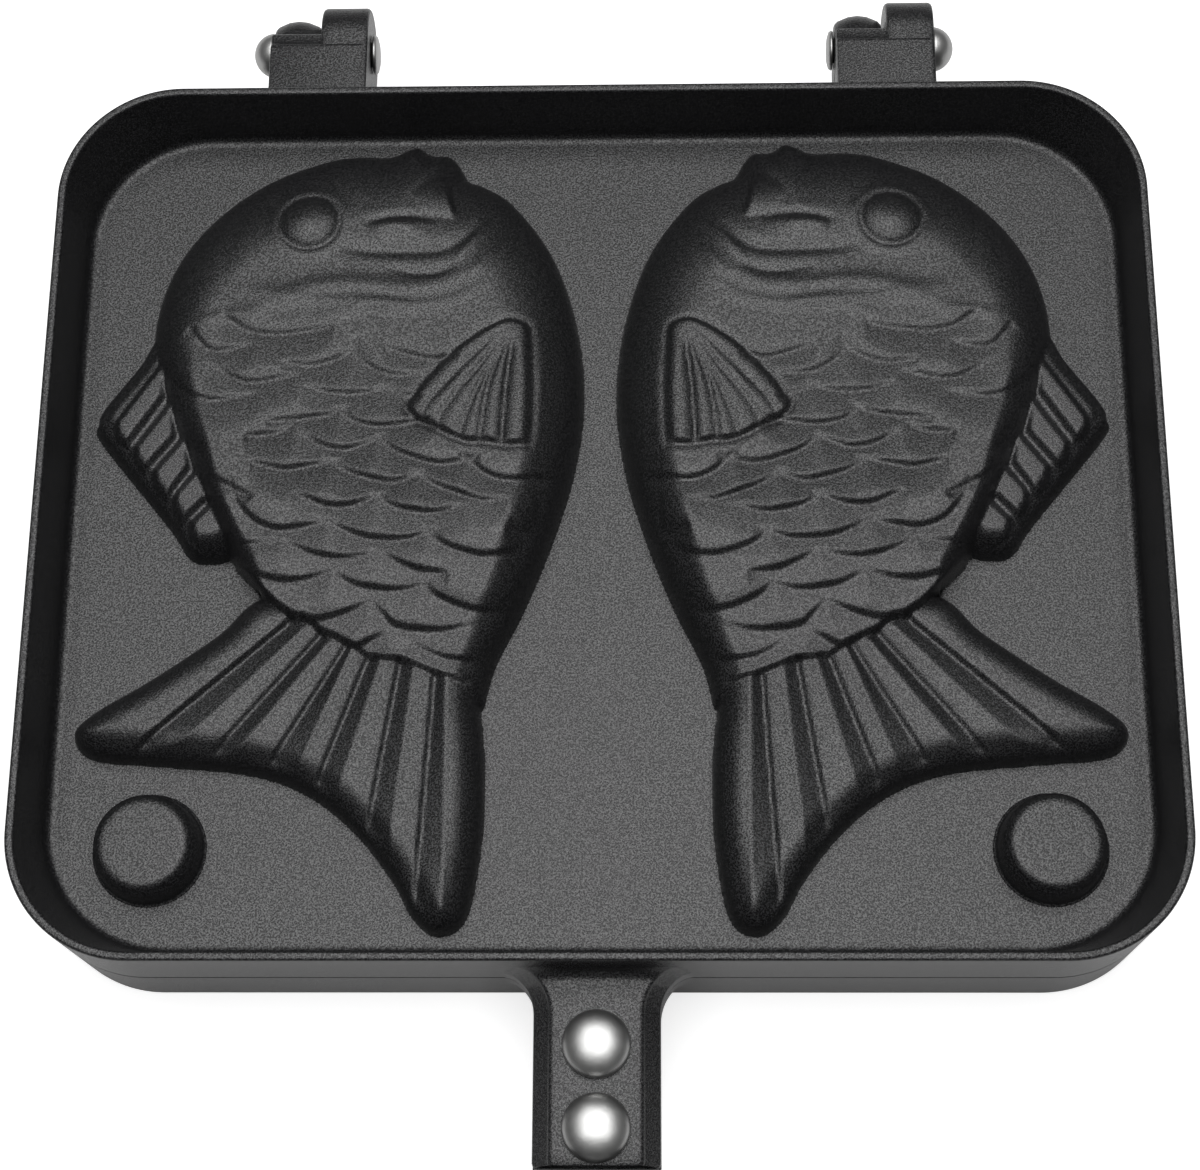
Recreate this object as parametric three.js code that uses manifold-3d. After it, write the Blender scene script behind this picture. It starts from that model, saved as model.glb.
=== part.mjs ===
import * as THREE from 'three';
import { mergeVertices } from 'three/addons/utils/BufferGeometryUtils.js';
import Module from 'manifold-3d';

// Two-fish taiyaki pan, closed and standing on its lower rim
// Each half is drawn open side down, its inner face at z = 0 and its front rim edge at y = 0

// Casting
const panWidth = 208;
const panLength = 170.2;
const panCorner = 23;
const castHeight = 17.6;
const plateThickness = 2.9;
const rimThickness = 1.7;
const skirtDraft = 1.8;
const partingGap = 0.3;
const fitGap = 0.3;

// Fish
const fishWidth = 93.2;
const fishLength = 156.8;
const fishFromMiddle = 3.1;
const fishFromFront = 6.7;
const bodyRise = 13.2;
const finRise = 7.2;
const detailRise = 0.9;
const lipRise = 9.5;
const eyeRadius = 6;
const eyeHeight = 17;
const eyeRise = 2.4;
const eyeRingRadius = 7.4;
const ribWidth = 2.2;
const panelWidth = 8.6;
const panelLength = 4.2;
const panelAngle = 0.95;
const panelCount = 5;

// Round bosses at the front corners
const bossFromMiddle = 81.2;
const bossFromFront = 22.4;
const bossRadius = 10;
const bossTopRadius = 8.4;
const bossRise = 7;
const bossEdge = 1.2;
const pocketRadius = 7.3;
const pocketTopRadius = 6.2;
const pocketDepth = 7;

// Hinge
const pinFromRear = 17.3;
const hingeFromMiddle = 56.4;
const hingeHalfWidth = 9.7;
const knuckleGap = 0.6;
const upperKnuckle = 8.9;
const lowerKnuckle = 6.8;
const pinRadius = 2.5;
const pinClearance = 0.1;
const pinHeadRadius = 4.45;
const pinHeadHeight = 4.3;
const pinTailRadius = 4;
const pinTailHeight = 2;

// Handle
const shankRootHalf = 16.2;
const shankRootLength = 2.6;
const shankFlareLength = 8.5;
const shankLength = 33.7;
const shankHalfWidth = 11.05;
const shankTop = 8.7;
const shankRootTop = 7.2;
const shankBottom = 4.3;
const shankTopInset = 2.55;
const rivetFront = 27.2;
const rivetRear = 13;
const rivetHeadRadius = 6;
const rivetHeadHeight = 3.5;
const rivetRadius = 2.6;
const rivetTailRadius = 4.2;
const rivetTailHeight = 1.6;
const tongueStart = 7.5;
const gripStart = 34;
const gripLength = 150;
const gripNeckHalf = 11.4;
const gripBellyHalf = 14.2;
const gripEndHalf = 13;
const gripHeight = 13.8;
const gripEdge = 7.5;
const gripHoleRadius = 4.5;
const gripHoleFromEnd = 13;

// Rounded shoulders as shares of the fish's length
const bodyReachShare = 0.1276;
const cavityReachShare = 0.108;
const finShoulderShare = 0.0153;
const finCavityShoulderShare = 0.009;
const lipShoulderShare = 0.019;

// The domed body: way in from its outline as a share of the reach, height as a share of the rise
const domeShares = [
  [0, 0], [0.04, 0.18], [0.12, 0.345], [0.28, 0.57], [0.5, 0.78], [0.75, 0.93], [1, 1],
];

// Outlines as shares of the fish's width, from its outer side, and length, from the tail
const bodyShares = [
  [0.583, 0.985], [0.454, 0.98], [0.325, 0.945], [0.218, 0.886], [0.151, 0.813], [0.121, 0.729],
  [0.153, 0.636], [0.212, 0.554], [0.282, 0.467], [0.363, 0.397], [0.486, 0.346], [0.615, 0.314],
  [0.722, 0.301], [0.812, 0.318], [0.883, 0.388], [0.939, 0.474], [0.982, 0.563], [1, 0.656],
  [0.984, 0.754], [0.931, 0.852], [0.84, 0.928], [0.722, 0.969],
];
const tailShares = [
  [0.368, 0.404], [0.274, 0.356], [0.144, 0.299], [0.042, 0.263], [0.001, 0.235], [0.04, 0.208],
  [0.175, 0.2], [0.347, 0.189], [0.459, 0.166], [0.556, 0.123], [0.636, 0.064], [0.679, 0.02],
  [0.727, 0], [0.78, 0.019], [0.806, 0.098], [0.811, 0.18], [0.802, 0.257], [0.776, 0.334],
  [0.57, 0.4],
];
const tailCavityShares = [
  [0.411, 0.41], [0.293, 0.337], [0.164, 0.281], [0.063, 0.244], [0.068, 0.229], [0.175, 0.221],
  [0.357, 0.211], [0.481, 0.187], [0.583, 0.138], [0.665, 0.075], [0.701, 0.036], [0.731, 0.026],
  [0.754, 0.04], [0.769, 0.098], [0.776, 0.18], [0.765, 0.257], [0.722, 0.36],
];
const finShares = [
  [0.115, 0.761], [0.072, 0.7], [0.014, 0.648], [0.002, 0.624], [0.014, 0.602], [0.163, 0.493],
  [0.203, 0.458], [0.24, 0.449], [0.3, 0.46], [0.335, 0.52], [0.261, 0.66], [0.196, 0.755],
];
const finCavityShares = [
  [0.206, 0.716], [0.126, 0.703], [0.053, 0.636], [0.055, 0.623], [0.194, 0.516], [0.234, 0.478],
  [0.312, 0.48], [0.282, 0.595],
];
const sideFinShares = [
  [0.834, 0.717], [0.885, 0.706], [0.897, 0.582], [0.881, 0.57], [0.797, 0.574], [0.703, 0.591],
  [0.653, 0.622], [0.727, 0.674],
];
const cheekShares = [
  [0.54, 0.84], [0.604, 0.797], [0.69, 0.793], [0.765, 0.825], [0.797, 0.869], [0.744, 0.9],
  [0.647, 0.908], [0.571, 0.893],
];
const lipShares = [
  [0.577, 0.975], [0.626, 0.997], [0.672, 0.999], [0.715, 0.985], [0.74, 0.958], [0.735, 0.92],
  [0.65, 0.91],
];
const eyeShare = [0.44, 0.87];
const ribShares = [
  [0.387, 0.385, 0.062, 0.237], [0.459, 0.362, 0.284, 0.226], [0.534, 0.343, 0.443, 0.2],
  [0.609, 0.324, 0.555, 0.15], [0.679, 0.305, 0.655, 0.08], [0.747, 0.31, 0.738, 0.03],
];
const panelShares = [0.127, 0.675, 0.226, 0.495];

const bodyReach = fishLength * bodyReachShare;
const cavityReach = fishLength * cavityReachShare;
const finShoulder = fishLength * finShoulderShare;
const finCavityShoulder = fishLength * finCavityShoulderShare;
const lipShoulder = fishLength * lipShoulderShare;
const halfLength = panLength / 2;
const pinY = panLength + pinFromRear;
const gripEnd = gripStart + gripLength;
const middleY = (pinY + upperKnuckle - gripEnd) / 2;
const middleZ = castHeight + partingGap / 2;

const wasm = await Module();
wasm.setup();

function solid(geometry) {
  const plain = new THREE.BufferGeometry();
  plain.setAttribute('position', geometry.getAttribute('position'));
  plain.setIndex(geometry.index);
  const welded = mergeVertices(plain);
  const index = welded.index.array;
  const faces = [];
  for (let i = 0; i < index.length; i += 3) {
    const [a, b, c] = index.slice(i, i + 3);
    if (a !== b && b !== c && c !== a) faces.push(a, b, c);
  }
  return new wasm.Manifold(new wasm.Mesh({
    numProp: 3,
    vertProperties: Float32Array.from(welded.getAttribute('position').array),
    triVerts: Uint32Array.from(faces),
  }));
}

function block(x0, x1, y0, y1, z0, z1) {
  const box = new THREE.BoxGeometry(x1 - x0, y1 - y0, z1 - z0);
  return solid(box.translate((x0 + x1) / 2, (y0 + y1) / 2, (z0 + z1) / 2));
}

function rodAlongX(radius, x0, x1, y, z, sides) {
  const rod = new THREE.CylinderGeometry(radius, radius, x1 - x0, sides).rotateZ(Math.PI / 2);
  return solid(rod.translate((x0 + x1) / 2, y, z));
}

function turned(profile, sides) {
  const points = profile.map(([r, z]) => new THREE.Vector2(r, z));
  return new THREE.LatheGeometry(points, sides).rotateX(Math.PI / 2);
}

function roundedPlan(inset) {
  const x = panWidth / 2 - inset;
  const y = halfLength - inset;
  const r = panCorner - inset;
  const plan = new THREE.Shape();
  plan.absarc(x - r, y - r, r, 0, Math.PI / 2);
  plan.absarc(r - x, y - r, r, Math.PI / 2, Math.PI);
  plan.absarc(r - x, r - y, r, Math.PI, -Math.PI / 2);
  plan.absarc(x - r, r - y, r, -Math.PI / 2, 0);
  return plan;
}

function fishPoint([across, along], side) {
  const x = fishFromMiddle + fishWidth * (1 - across);
  return new THREE.Vector3(side * x, fishFromFront + fishLength * along, 0);
}

function fishPlan(shares, side, steps) {
  const points = shares.map((share) => fishPoint(share, side));
  const curve = new THREE.CatmullRomCurve3(points, true);
  return new THREE.Shape(curve.getPoints(points.length * steps).slice(1));
}

// A form with a straight foot and a rounded shoulder, mirrored below z = 0
function relief(plan, straight, rise, shoulder, levels) {
  const geometry = new THREE.ExtrudeGeometry(plan, {
    depth: 2 * straight,
    steps: 1,
    bevelThickness: rise,
    bevelSize: shoulder,
    bevelOffset: -shoulder,
    bevelSegments: levels,
    curveSegments: 6,
  });
  return geometry.translate(0, 0, -straight);
}

// Layers of the body's outline, each further in and higher, hulled one to the next
function dome(side, inset, reach, base, rise) {
  const outline = fishPlan(bodyShares, side, 2).getPoints().map((point) => [point.x, point.y]);
  const section = new wasm.CrossSection([outline], 'NonZero');
  const layers = domeShares.map(([inward, upward]) => section
    .offset(-inset - reach * inward, 'Miter')
    .toPolygons()[0]
    .map(([x, y]) => [x, y, base + rise * upward]));
  const foot = layers[0].map(([x, y]) => [x, y, -plateThickness]);
  const rings = [foot, ...layers];
  return wasm.Manifold.union(
    layers.map((layer, i) => wasm.Manifold.hull([...rings[i], ...layer])));
}

function stripOnTop(from, to, width, top) {
  const length = from.distanceTo(to);
  const strip = new THREE.BoxGeometry(length, width, 2 * detailRise);
  strip.rotateZ(Math.atan2(to.y - from.y, to.x - from.x));
  return solid(strip.translate((from.x + to.x) / 2, (from.y + to.y) / 2, top));
}

function addFish(casting, side) {
  const finTop = plateThickness + finRise;
  const foot = finTop - finShoulder;
  const raised = dome(side, 0, bodyReach, plateThickness, bodyRise + detailRise);
  let fish = casting
    .add(dome(side, 0, bodyReach, plateThickness, bodyRise))
    .add(solid(relief(fishPlan(tailShares, side, 2), foot, finShoulder, finShoulder, 2)))
    .add(solid(relief(fishPlan(finShares, side, 2), foot, finShoulder, finShoulder, 2)));
  fish = fish.add(solid(relief(
    fishPlan(lipShares, side, 2), plateThickness, lipRise, lipShoulder, 3)));
  for (const shares of [sideFinShares, cheekShares]) {
    const column = new THREE.ExtrudeGeometry(fishPlan(shares, side, 2), {
      depth: castHeight, bevelEnabled: false,
    });
    fish = fish.add(raised.intersect(solid(column)));
  }
  for (const [x0, y0, x1, y1] of ribShares) {
    const from = fishPoint([x0, y0], side);
    fish = fish.add(stripOnTop(from, fishPoint([x1, y1], side), ribWidth, finTop));
  }
  const [x0, y0, x1, y1] = panelShares;
  const first = fishPoint([x0, y0], side);
  const last = fishPoint([x1, y1], side);
  for (let i = 0; i < panelCount; i += 1) {
    const middle = first.clone().lerp(last, i / (panelCount - 1));
    const turn = new THREE.Vector3(-side * Math.cos(panelAngle), Math.sin(panelAngle), 0);
    const end = middle.clone().addScaledVector(turn, panelWidth / 2);
    const start = middle.clone().addScaledVector(turn, -panelWidth / 2);
    fish = fish.add(stripOnTop(start, end, panelLength, finTop));
  }
  const eye = fishPoint(eyeShare, side);
  const socket = turned([
    [0, 0], [eyeRingRadius, 0], [eyeRingRadius, castHeight], [0, castHeight],
  ], 20);
  const ball = turned([
    [0, 0], [eyeRadius, 0], [eyeRadius, eyeHeight - eyeRise], [eyeRadius * 0.8, eyeHeight - eyeRise * 0.3],
    [eyeRadius * 0.45, eyeHeight], [0, eyeHeight],
  ], 14);
  return fish
    .add(raised.intersect(solid(socket.translate(eye.x, eye.y, 0))))
    .add(solid(ball.translate(eye.x, eye.y, 0)));
}

function cutFish(casting, side) {
  const finDepth = finRise - finCavityShoulder;
  const tail = relief(fishPlan(tailCavityShares, side, 1), finDepth, finCavityShoulder,
    finCavityShoulder, 1);
  const fin = relief(fishPlan(finCavityShares, side, 1), finDepth, finCavityShoulder,
    finCavityShoulder, 1);
  return casting
    .subtract(dome(side, plateThickness, cavityReach, 0, bodyRise))
    .subtract(solid(tail))
    .subtract(solid(fin));
}

function boss(side) {
  const top = plateThickness + bossRise;
  const form = turned([
    [0, 0], [bossRadius, 0], [bossRadius, plateThickness], [bossTopRadius, top - bossEdge],
    [bossTopRadius - bossEdge, top], [0, top],
  ], 28);
  return solid(form.translate(side * bossFromMiddle, bossFromFront, 0));
}

function pocket(side) {
  const form = turned([
    [0, -plateThickness], [pocketRadius, -plateThickness], [pocketRadius, 0],
    [pocketTopRadius, pocketDepth], [0, pocketDepth],
  ], 24);
  return solid(form.translate(side * bossFromMiddle, bossFromFront, 0));
}

function shank() {
  const bar = new THREE.Shape();
  bar.moveTo(-shankHalfWidth, rimThickness);
  bar.lineTo(-shankHalfWidth, -shankLength);
  bar.lineTo(shankHalfWidth, -shankLength);
  bar.lineTo(shankHalfWidth, rimThickness);
  const root = new THREE.Shape();
  root.moveTo(-shankRootHalf, rimThickness);
  root.lineTo(-shankRootHalf, -shankRootLength);
  root.quadraticCurveTo(-shankHalfWidth, -shankRootLength, -shankHalfWidth, -shankFlareLength);
  root.lineTo(shankHalfWidth, -shankFlareLength);
  root.quadraticCurveTo(shankHalfWidth, -shankRootLength, shankRootHalf, -shankRootLength);
  root.lineTo(shankRootHalf, rimThickness);
  const flare = new THREE.ExtrudeGeometry(root, {
    depth: shankRootTop, bevelEnabled: false, curveSegments: 5,
  });
  const rise = shankTop - shankBottom;
  return solid(relief(bar, shankBottom, rise, shankTopInset, 1)).add(solid(flare));
}

// One casting; the lower one carries the smaller knuckles
function casting(ownKnuckle, otherKnuckle) {
  const front = new THREE.ExtrudeGeometry(roundedPlan(0), {
    depth: castHeight, bevelEnabled: false, curveSegments: 7,
  });
  const well = new THREE.ExtrudeGeometry(roundedPlan(rimThickness + skirtDraft), {
    depth: castHeight,
    steps: 1,
    bevelThickness: castHeight - plateThickness,
    bevelSize: skirtDraft,
    bevelSegments: 1,
    curveSegments: 7,
  });
  let pan = solid(front.translate(0, halfLength, 0));
  pan = pan.subtract(solid(well.translate(0, halfLength, castHeight)));
  pan = pan.add(boss(-1)).add(boss(1));
  pan = addFish(addFish(pan, -1), 1);
  pan = pan.add(shank());
  const lugStart = panLength - rimThickness;
  for (const side of [-1, 1]) {
    const middle = side * hingeFromMiddle;
    pan = pan.add(block(
      middle - hingeHalfWidth, middle + hingeHalfWidth, lugStart, pinY, 0, ownKnuckle));
  }
  pan = pan.intersect(block(-panWidth, panWidth, -panLength, 2 * panLength, 0, castHeight));
  for (const side of [-1, 1]) {
    const middle = side * hingeFromMiddle;
    const gap = knuckleGap / 2;
    const pinZ = -partingGap / 2;
    const other = otherKnuckle + 2 * fitGap;
    pan = pan
      .subtract(rodAlongX(other, middle - hingeHalfWidth - gap, middle + gap, pinY, pinZ, 40))
      .add(rodAlongX(ownKnuckle, middle + gap, middle + hingeHalfWidth, pinY, pinZ, 40))
      .subtract(rodAlongX(pinRadius + pinClearance, middle - panCorner, middle + panCorner,
        pinY, pinZ, 20));
  }
  pan = cutFish(cutFish(pan, -1), 1);
  pan = pan.subtract(pocket(-1)).subtract(pocket(1));
  pan = pan.subtract(block(-panCorner, panCorner, -panLength, fitGap - tongueStart,
    -castHeight, shankBottom));
  for (const along of [rivetFront, rivetRear]) {
    const hole = new THREE.CylinderGeometry(
      rivetRadius + fitGap, rivetRadius + fitGap, 2 * castHeight, 20);
    pan = pan.subtract(solid(hole.rotateX(Math.PI / 2).translate(0, -along, 0)));
  }
  return pan;
}

function grip() {
  const plan = new THREE.Shape();
  const belly = gripStart + gripLength * 0.62;
  plan.moveTo(-gripNeckHalf, -gripStart);
  plan.quadraticCurveTo(-gripNeckHalf, -gripStart - gripLength * 0.3, -gripBellyHalf, -belly);
  plan.bezierCurveTo(-gripBellyHalf, -gripEnd + gripEndHalf, -gripEndHalf, -gripEnd,
    0, -gripEnd);
  plan.bezierCurveTo(gripEndHalf, -gripEnd, gripBellyHalf, -gripEnd + gripEndHalf,
    gripBellyHalf, -belly);
  plan.quadraticCurveTo(gripNeckHalf, -gripStart - gripLength * 0.3, gripNeckHalf, -gripStart);
  const body = relief(plan, gripHeight - gripEdge, gripEdge, gripEdge, 4);
  const tongueTop = shankBottom - fitGap;
  const hole = new THREE.CylinderGeometry(gripHoleRadius, gripHoleRadius, 4 * gripHeight, 20);
  let form = solid(body)
    .intersect(block(-gripLength, gripLength, -gripEnd, 0, 0, gripHeight))
    .add(block(-shankHalfWidth, shankHalfWidth, -gripStart - gripEdge, -tongueStart,
      0, tongueTop))
    .subtract(solid(hole.rotateX(Math.PI / 2).translate(0, gripHoleFromEnd - gripEnd, 0)));
  for (const along of [rivetFront, rivetRear]) {
    const shaft = new THREE.CylinderGeometry(
      rivetRadius + fitGap, rivetRadius + fitGap, 2 * castHeight, 20);
    const sink = turned([
      [0, -fitGap], [rivetTailRadius + fitGap, -fitGap], [rivetTailRadius + fitGap, fitGap],
      [rivetRadius + fitGap, fitGap + rivetTailHeight], [0, fitGap + rivetTailHeight],
    ], 20);
    form = form
      .subtract(solid(shaft.rotateX(Math.PI / 2).translate(0, -along, 0)))
      .subtract(solid(sink.translate(0, -along, 0)));
  }
  return form;
}

function rivet(along) {
  const seat = shankTop + fitGap;
  const profile = [
    [0, 0], [rivetTailRadius, 0], [rivetTailRadius, fitGap],
    [rivetRadius, fitGap + rivetTailHeight], [rivetRadius, seat], [rivetHeadRadius, seat],
  ];
  for (let i = 1; i <= 5; i += 1) {
    const angle = (i / 5) * (Math.PI / 2);
    profile.push([
      i === 5 ? 0 : rivetHeadRadius * Math.cos(angle), seat + rivetHeadHeight * Math.sin(angle),
    ]);
  }
  return solid(turned(profile, 20).translate(0, -along, 0));
}

function hingePin(side) {
  const outer = hingeFromMiddle + hingeHalfWidth + fitGap;
  const inner = hingeFromMiddle - hingeHalfWidth - fitGap;
  const profile = [
    [0, inner - pinTailHeight], [pinTailRadius * 0.7, inner - pinTailHeight],
    [pinTailRadius, inner - pinTailHeight / 2], [pinTailRadius, inner],
    [pinRadius, inner], [pinRadius, outer], [pinHeadRadius, outer],
  ];
  for (let i = 1; i <= 4; i += 1) {
    const angle = (i / 4) * (Math.PI / 2);
    profile.push([
      i === 4 ? 0 : pinHeadRadius * Math.cos(angle), outer + pinHeadHeight * Math.sin(angle),
    ]);
  }
  const form = turned(profile, 20).rotateY(side * Math.PI / 2);
  return solid(form.translate(0, pinY, 0));
}

function bufferOf(form) {
  const mesh = form.getMesh();
  const geometry = new THREE.BufferGeometry();
  geometry.setAttribute('position', new THREE.BufferAttribute(mesh.vertProperties, 3));
  geometry.setIndex(new THREE.BufferAttribute(mesh.triVerts, 1));
  return geometry;
}

const part = new THREE.Group();
part.name = 'taiyaki_pan';

// Place a form: the upper half stands above the parting plane, the lower half is turned under it
function place(name, form, half, material) {
  const geometry = bufferOf(form);
  if (half === 'upper') geometry.translate(0, 0, partingGap / 2);
  if (half === 'lower') geometry.translate(0, 0, partingGap / 2).rotateY(Math.PI);
  geometry.translate(0, -middleY, middleZ);
  geometry.computeVertexNormals();
  const mesh = new THREE.Mesh(geometry, material);
  mesh.name = name;
  part.add(mesh);
}

const coating = () => new THREE.MeshStandardMaterial({
  color: 0x3a3b3d, roughness: 0.45, metalness: 0.1,
});
const bakelite = () => new THREE.MeshStandardMaterial({
  color: 0x1c1c1d, roughness: 0.4, metalness: 0,
});
const polished = () => new THREE.MeshStandardMaterial({
  color: 0xd4d5d6, roughness: 0.2, metalness: 1,
});

place('upper_pan', casting(upperKnuckle, lowerKnuckle), 'upper', coating());
place('lower_pan', casting(lowerKnuckle, upperKnuckle), 'lower', coating());
for (const half of ['upper', 'lower']) {
  place(`${half}_grip`, grip(), half, bakelite());
  place(`${half}_rivet_front`, rivet(rivetFront), half, polished());
  place(`${half}_rivet_rear`, rivet(rivetRear), half, polished());
}
place('left_hinge_pin', hingePin(-1), 'both', polished());
place('right_hinge_pin', hingePin(1), 'both', polished());

export default part;
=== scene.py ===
import math

import bpy
import numpy as np
from mathutils import Matrix, Vector


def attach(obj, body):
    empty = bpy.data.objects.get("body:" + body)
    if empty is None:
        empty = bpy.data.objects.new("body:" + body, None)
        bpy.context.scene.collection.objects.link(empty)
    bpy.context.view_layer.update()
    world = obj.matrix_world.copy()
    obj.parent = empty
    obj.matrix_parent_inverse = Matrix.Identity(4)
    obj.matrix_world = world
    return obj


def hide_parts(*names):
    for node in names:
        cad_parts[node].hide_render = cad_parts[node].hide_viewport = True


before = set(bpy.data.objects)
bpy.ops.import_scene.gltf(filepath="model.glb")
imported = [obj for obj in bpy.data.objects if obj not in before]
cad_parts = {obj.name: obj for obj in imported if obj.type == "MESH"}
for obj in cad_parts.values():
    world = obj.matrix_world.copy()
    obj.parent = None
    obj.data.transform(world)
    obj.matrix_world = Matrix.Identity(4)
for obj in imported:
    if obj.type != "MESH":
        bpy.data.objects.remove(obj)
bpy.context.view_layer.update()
scene = bpy.context.scene

# Sizes shared by the pieces, in mm; y = 0 is the front rim edge of the pan

pan = dict(
    width=208.0, length=170.2, corner=23.0,
    height=17.6,  # one half, from its inner face to its rim
    plate=2.9,
    gap=0.3,  # between the halves
    land=0.13,  # the mating faces stand into the gap and close it to light
    middleY=6.2,  # the frame's origin, behind the front rim edge
    pinY=187.5, parting=17.75,
)
metre = 1000  # mm
sharpAngle = 30  # degrees, edges steeper than this stay sharp
halves = ("upper", "lower")


# Mesh helpers


def gridFaces(rows, columns, wrapRows=False, wrapColumns=False):
    # Quads between neighbouring points of a grid; a wrapped side closes on itself
    r = np.arange(rows if wrapRows else rows - 1)
    c = np.arange(columns if wrapColumns else columns - 1)
    r, c = np.meshgrid(r, c, indexing="ij")
    r2, c2 = (r + 1) % rows, (c + 1) % columns
    quads = [r * columns + c, r * columns + c2, r2 * columns + c2, r2 * columns + c]
    return np.stack(quads, -1).reshape(-1, 4)


def addPiece(name, points, faces, material, body, replaced=(), half="", sharp=None):
    # Points in mm of the half's own frame, turned into the shared frame in metres
    p = np.array(points, float).reshape(-1, 3)
    if half == "upper":
        p = p + [0, 0, pan["parting"] + pan["gap"] / 2]
    if half == "lower":
        p = p * [-1, 1, -1] + [0, 0, pan["parting"] - pan["gap"] / 2]
    p = (p - [0, pan["middleY"], 0]) / metre
    mesh = bpy.data.meshes.new(name)
    mesh.from_pydata(p.tolist(), [], [list(f) for f in faces])
    mesh.polygons.foreach_set("use_smooth", [True] * len(mesh.polygons))
    if sharp:
        mesh.set_sharp_from_angle(angle=math.radians(sharp))
    mesh.materials.append(material)
    mesh.update()
    piece = bpy.data.objects.new(name, mesh)
    scene.collection.objects.link(piece)
    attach(piece, body)
    if replaced:
        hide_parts(*replaced)


def tubeFaces(rows, columns):
    # Rings joined row by row, and closed by a face at both ends
    faces = gridFaces(rows, columns, wrapColumns=True).tolist()
    first = list(range(columns))
    return faces + [first[::-1], [k + (rows - 1) * columns for k in first]]


def turnedSurface(profile, columns):
    # A profile of (radius, height) carried round the z axis; both ends lie on the axis
    profile = np.array(profile, float)
    angle = np.linspace(0, 2 * math.pi, columns, endpoint=False)
    r, z = profile[1:-1, 0][:, None], profile[1:-1, 1][:, None]
    height = np.broadcast_to(z, (len(z), columns))
    ring = np.stack([r * np.cos(angle), r * np.sin(angle), height], -1).reshape(-1, 3)
    points = np.vstack([ring, [[0, 0, profile[0, 1]], [0, 0, profile[-1, 1]]]])
    rows = len(profile) - 2
    faces = gridFaces(rows, columns, wrapColumns=True).tolist()
    k = np.arange(columns)
    after = (k + 1) % columns
    top = (rows - 1) * columns
    faces += np.stack([after, k, np.full(columns, len(ring))], -1).tolist()
    faces += np.stack([top + k, top + after, np.full(columns, len(ring) + 1)], -1).tolist()
    return points, faces


def arc(cx, cy, r, start, end, count):
    # Points on a circle's arc, angles in degrees
    a = np.radians(np.linspace(start, end, count))
    return np.stack([cx + r * np.cos(a), cy + r * np.sin(a)], -1)


# Fields over the plan

farAway = 1e9
tiny = 1e-6
noZero = 1e-12  # added to a squared length before a division


def catmullRom(a, b, c, d, steps):
    # Points from each b towards its c; a and d are the neighbours on either side
    t = (np.arange(steps) / steps)[None, :, None]
    a, b, c, d = (v[:, None, :] for v in (a, b, c, d))
    curve = b + t * (c - a) / 2 + t**2 * (a - 2.5 * b + 2 * c - d / 2)
    curve = curve + t**3 * (1.5 * (b - c) + (d - a) / 2)
    return curve.reshape(-1, 2)


def closedCurve(points, steps=6):
    # A smooth ring through a ring of points
    p = np.reshape(points, (-1, 2)).astype(float)
    return catmullRom(np.roll(p, 1, 0), p, np.roll(p, -1, 0), np.roll(p, -2, 0), steps)


def openCurve(points, steps=4):
    # A smooth line through the points of an open one
    p = np.reshape(points, (-1, 2)).astype(float)
    p = np.vstack([2 * p[0] - p[1], p, 2 * p[-1] - p[-2]])
    return np.vstack([catmullRom(p[:-3], p[1:-2], p[2:-1], p[3:], steps), p[-2]])


def inside(x, y, ring):
    # Signed distance to a closed ring, positive inside
    best = np.full(x.shape, farAway)
    odd = np.zeros(x.shape, bool)
    for (ax, ay), (bx, by) in zip(ring, np.roll(ring, -1, 0)):
        ex, ey = bx - ax, by - ay
        t = np.clip(((x - ax) * ex + (y - ay) * ey) / (ex * ex + ey * ey + noZero), 0, 1)
        best = np.minimum(best, (x - ax - t * ex) ** 2 + (y - ay - t * ey) ** 2)
        if ay != by:
            odd ^= ((ay > y) != (by > y)) & (x < ex * (y - ay) / ey + ax)
    return np.where(odd, 1, -1) * np.sqrt(best)


def beside(x, y, line):
    # Signed distance to an open line, positive on its left, and the share along it
    line = np.reshape(line, (-1, 2)).astype(float)
    spans = np.hypot(*np.diff(line, axis=0).T)
    starts = np.concatenate([[0], np.cumsum(spans)])
    best, signed, along = np.full(x.shape, farAway), np.zeros(x.shape), np.zeros(x.shape)
    for k in range(len(line) - 1):
        (ax, ay), (bx, by) = line[k], line[k + 1]
        ex, ey = bx - ax, by - ay
        t = np.clip(((x - ax) * ex + (y - ay) * ey) / (ex * ex + ey * ey), 0, 1)
        d = np.hypot(x - ax - t * ex, y - ay - t * ey)
        near = d < best
        best = np.where(near, d, best)
        side = np.where(ex * (y - ay) - ey * (x - ax) >= 0, 1, -1)
        signed = np.where(near, side * d, signed)
        along = np.where(near, (starts[k] + t * spans[k]) / starts[-1], along)
    return signed, along


def ease(v, low, high):
    # Smooth step from 0 at low to 1 at high
    t = np.clip((v - low) / (high - low), 0, 1)
    return t * t * (3 - 2 * t)


def shoulder(d, width, power):
    # Rounded edge: 0 at the outline and outside it, 1 from a width inside
    e = np.clip(d / width, 0, 1)
    return (1 - (1 - e) ** power) ** (1 / power)


def shareBetween(left, right):
    # Share of the way between two lines, from the signed distances to them
    return np.clip(left / (left - right + tiny), 0, 1)


def taperEnds(along, power):
    # 0 at a line's ends, 1 in its middle
    return np.sin(math.pi * np.clip(along, 0, 1)) ** power


# The fish, as a height over the plan of the left one; outlines and lines are x, y, x, y ...

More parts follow.
